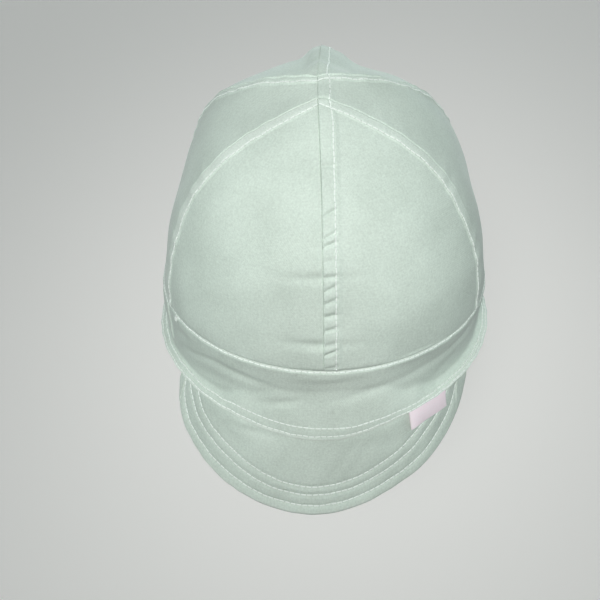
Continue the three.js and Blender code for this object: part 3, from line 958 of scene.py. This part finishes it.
def add(tree, kind, sockets=None, **settings):
    """One node with its settings and its sockets."""
    made = tree.nodes.new(kind)
    for name, value in settings.items():
        setattr(made, name, value)
    feed(tree, made, sockets or {})
    return made


def maths(tree, operation, *values):
    """The result of one maths node."""
    return add(tree, "ShaderNodeMath", dict(enumerate(values)), operation=operation).outputs[0]


def noise(tree, vector, scale, roughness=0.5):
    """Cloudy noise, with as many cells a metre as the scale says."""
    sockets = {"Vector": vector, "Scale": scale, "Detail": 2.0, "Roughness": roughness}
    return add(tree, "ShaderNodeTexNoise", sockets).outputs["Fac"]


def blend(tree, share, first, second):
    """A colour on the way from the first to the second."""
    sockets = {"Factor": share, "A": first, "B": second}
    return add(tree, "ShaderNodeMix", sockets, data_type="RGBA").outputs["Result"]


def new_material(name):
    """A new material with its nodes and its shader."""
    material = bpy.data.materials.new(name)
    material.use_nodes = True
    return material, material.node_tree, material.node_tree.nodes["Principled BSDF"]


# Cloth: how the slubs are stretched along the warp and the weft and how many there are to a thread, the
# sizes of the grain and of the dye's patches in mm, and how far and to what colour the painted highlight on
# folds and felled strips pales the cloth.
SLUB_STRETCHES = ((0.25, 1.0, 1.0), (1.0, 0.25, 1.0))
SLUBS_TO_A_THREAD = 0.7
GRAIN_SIZE = 0.9
DYE_SIZE = 30
PAINTED_HIGHLIGHT_SHARE = 0.22
PAINTED_HIGHLIGHT_COLOUR = "#f4f6f2"


def cloth_material(name, colour, shade, thread_mm, roughness, sheen, relief):
    """Woven cloth on the piece's own UV, which is metres of cloth. Warp and weft are two sines whose
    product gives the overs and unders, slubs are noise stretched along each thread, a fine noise gives the
    grain, and a slow one the uneven dye. A painted highlight, as strong as the fold attribute, whitens folds
    and felled strips a little."""
    material, tree, shader = new_material(name)
    cloth = add(tree, "ShaderNodeUVMap", uv_map="cloth").outputs["UV"]
    place = add(tree, "ShaderNodeTexCoord").outputs["Object"]
    parts = add(tree, "ShaderNodeSeparateXYZ", {"Vector": cloth}).outputs
    turns = np.pi / (thread_mm * MM)
    waves = [maths(tree, "SINE", maths(tree, "MULTIPLY", parts[axis], turns)) for axis in "XY"]
    weave = maths(tree, "MULTIPLY", *waves)
    slubs = []
    for stretch in SLUB_STRETCHES:
        drawn = add(tree, "ShaderNodeMapping", {"Vector": cloth, "Scale": stretch}).outputs[0]
        slubs.append(noise(tree, drawn, SLUBS_TO_A_THREAD / (thread_mm * MM), roughness=0.6))
    slub = maths(tree, "ADD", *slubs)
    grain = noise(tree, place, 1 / (GRAIN_SIZE * MM))
    dye = noise(tree, place, 1 / (DYE_SIZE * MM))
    mottle = maths(tree, "ADD", maths(tree, "MULTIPLY_ADD", slub, 0.5, dye), grain)
    mix = add(tree, "ShaderNodeMapRange", {"Value": mottle, "From Min": 1.1, "From Max": 1.9}).outputs[0]
    body = blend(tree, mix, linear(shade), linear(colour))
    # The fold attribute carries a painted highlight: it pales the cloth towards a near white.
    fold = add(tree, "ShaderNodeAttribute", attribute_name="fold").outputs["Fac"]
    painted_highlight = maths(tree, "MULTIPLY", fold, PAINTED_HIGHLIGHT_SHARE)
    rough = add(tree, "ShaderNodeMapRange", {"Value": slub, "From Min": 0.6, "From Max": 1.4,
                                             "To Min": roughness - 0.06, "To Max": roughness + 0.06})
    height = maths(tree, "MULTIPLY_ADD", grain, 3.0, maths(tree, "MULTIPLY_ADD", slub, 0.9, weave))
    bump = add(tree, "ShaderNodeBump", {"Height": height, "Strength": 1.0, "Distance": relief * MM})
    feed(tree, shader, {"Base Color": blend(tree, painted_highlight, body, linear(PAINTED_HIGHLIGHT_COLOUR)),
                        "Roughness": rough.outputs[0], "Normal": bump.outputs[0], "Sheen Weight": sheen,
                        "Sheen Roughness": 0.5, "Specular IOR Level": 0.25})
    return material


def thread_material(twist_length=0.6, ridge=0.05):
    """White polyester sewing thread: two plies whose twist shows as slanted ridges, with painted shade in
    the grooves between them and a slight gloss.
    """
    material, tree, shader = new_material("white_thread")
    cloth = add(tree, "ShaderNodeUVMap", uv_map="cloth").outputs["UV"]
    parts = add(tree, "ShaderNodeSeparateXYZ", {"Vector": cloth}).outputs
    slant = maths(tree, "ADD", parts["X"], parts["Y"])
    twist = maths(tree, "SINE", maths(tree, "MULTIPLY", slant, 2 * np.pi / (twist_length * MM)))
    # Painted shade: the thread is a little darker in the grooves of its twist.
    painted_groove_shade = add(tree, "ShaderNodeMapRange", {"Value": twist, "From Min": -1.0, "From Max": 1.0}).outputs[0]
    bump = add(tree, "ShaderNodeBump", {"Height": twist, "Distance": ridge * MM})
    feed(tree, shader, {"Base Color": blend(tree, painted_groove_shade, linear("#eaf4ec"), linear("#fbfffc")),
                        "Roughness": 0.55, "Normal": bump.outputs[0], "Sheen Weight": 0.1})
    return material


def paper_material():
    """Pale matt paper that glows a little, so that the floor stays bright round the cap."""
    material, tree, shader = new_material("pale_paper_floor")
    feed(tree, shader, {"Base Color": linear("#dddbd8"), "Roughness": 0.95,
                        "Emission Color": linear("#e4e2df"), "Emission Strength": 0.35})
    return material


# Cotton poplin, woven, dyed pale sage and washed: matt, a faint grain, a soft bloom at grazing angles.
# Its threads lie 0.3 mm apart, too fine to show, so the weave is drawn at 0.5 mm.
cotton = cloth_material("sage_cotton_poplin", "#d8e4da", "#c1cdc3",
                        thread_mm=0.5, roughness=0.86, sheen=0.2, relief=0.02)
# Satin ribbon, woven polyester: smoother and slightly glossy, white with a rosy cast.
ribbon = cloth_material("white_satin_ribbon", "#fff5fa", "#fdecf3",
                        thread_mm=0.5, roughness=0.5, sheen=0.1, relief=0.01)
thread = thread_material()


# Pieces


def place(piece, slot, *nodes):
    """Says what a piece rides on and hides the nodes that it stands in for. The slot is not used."""
    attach(piece, "root")
    if nodes:
        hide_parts(*nodes)


panels = {name: Panel(*row) for name, row in PANELS.items()}
for name, panel in panels.items():
    place(panel_piece(name, panel, cotton), "crown_cotton", f"crown_panel_{name}")
place(band_piece(cotton), "band_cotton", "band")
place(brim_piece(cotton), "brim_cotton", "brim")
place(label_piece(ribbon), "label_ribbon", "label")

for name, rows in (("crown", crown_rows(panels.values())), ("band", band_rows()), ("brim", brim_rows())):
    place(topstitching(f"{name}_topstitching", rows, thread), "stitch_thread")

# Floor, light and camera

# The floor's depth below the origin in mm, and half its width in metres.
FLOOR_DROP = 250.0
FLOOR_HALF_WIDTH = 12.0
floor_mesh = bpy.data.meshes.new("floor")
floor_corners = np.array([(-1, -1, 0), (1, -1, 0), (1, 1, 0), (-1, 1, 0)]) * FLOOR_HALF_WIDTH
floor_mesh.from_pydata(floor_corners - (0, 0, FLOOR_DROP * MM), [], [(0, 1, 2, 3)])
floor_mesh.materials.append(paper_material())
floor = put("floor", floor_mesh)
floor.visible_diffuse = False


def round_centre(azimuth, elevation, distance):
    """A step out from a centre; azimuth 0 is the brim side and grows towards +X."""
    a, e = np.radians((azimuth, elevation))
    return distance * Vector((np.sin(a) * np.cos(e), -np.cos(a) * np.cos(e), np.sin(e)))


def facing(direction):
    """The turn that points a lamp or a camera in a direction."""
    return direction.to_track_quat("-Z", "Y")


# The point that both spots aim at.
SPOT_AIM = Vector((0, -42, 90)) * MM


def soft_spot(name, width, power, radius=0.25):
    """A wide soft lamp with a cone that fades all the way from its middle to its edge."""
    light = bpy.data.lights.new(name, "SPOT")
    light.spot_size = np.radians(width)
    light.spot_blend = 1.0
    light.shadow_soft_size = radius
    light.energy = power
    lamp = put(name, light)
    lamp.location = SPOT_AIM + round_centre(azimuth=-4, elevation=35, distance=1.2)
    lamp.rotation_euler = facing(SPOT_AIM - lamp.location).to_euler()


def far_light(name, azimuth, elevation, strength, breadth=30):
    """A broad far lamp of cool light that reaches the whole cap evenly from one side."""
    light = bpy.data.lights.new(name, "SUN")
    light.color = linear("#eeffff")[:3]
    light.angle = np.radians(breadth)
    light.energy = strength
    put(name, light).rotation_euler = facing(-round_centre(azimuth, elevation, 1)).to_euler()


soft_spot("key_light", width=25, power=59)
soft_spot("wide_light", width=34, power=34)
far_light("left_light", azimuth=-88, elevation=14, strength=0.74)
far_light("right_light", azimuth=88, elevation=24, strength=0.76)
far_light("back_light", azimuth=174, elevation=8, strength=1.6)

# The room: its light is faint, and fainter below eye level. The camera sees it as a pale backdrop.
BACKDROP = 0.5
world = bpy.data.worlds.new("studio")
bpy.context.scene.world = world
world.use_nodes = True
room = world.node_tree
ray = add(room, "ShaderNodeTexCoord").outputs["Generated"]
height = add(room, "ShaderNodeSeparateXYZ", {"Vector": ray}).outputs["Z"]
fill = add(room, "ShaderNodeMapRange",
           {"Value": height, "From Min": -0.15, "From Max": 0.35, "To Min": 0.02, "To Max": 0.07},
           interpolation_type="SMOOTHSTEP").outputs[0]
seen = add(room, "ShaderNodeLightPath").outputs["Is Camera Ray"]
brightness = maths(room, "MULTIPLY_ADD", seen, BACKDROP, fill)
feed(room, room.nodes["Background"], {"Color": linear("#e9ecef"), "Strength": brightness})

# The lens for a 600 x 600 frame, the point that the frame centres on, and the lean of the frame.
IMAGE_SIZE = 600
FOCAL_PIXELS = 1049.2
CAMERA_AIM = Vector((-12.4, -2.25, 6.0)) * MM
CAMERA_ROLL = np.radians(-0.79)
camera = bpy.data.cameras.new("camera")
camera.sensor_width = 36
camera.lens = FOCAL_PIXELS * camera.sensor_width / IMAGE_SIZE
eye = put("camera", camera)
eye.location = CAMERA_AIM + round_centre(azimuth=1.38, elevation=34.87, distance=0.5484)
eye.rotation_euler = (facing(CAMERA_AIM - eye.location) @ Quaternion((0, 0, 1), CAMERA_ROLL)).to_euler()
bpy.context.scene.camera = eye
bpy.context.scene.view_settings.view_transform = "Standard"
bpy.context.scene.view_settings.gamma = 0.9
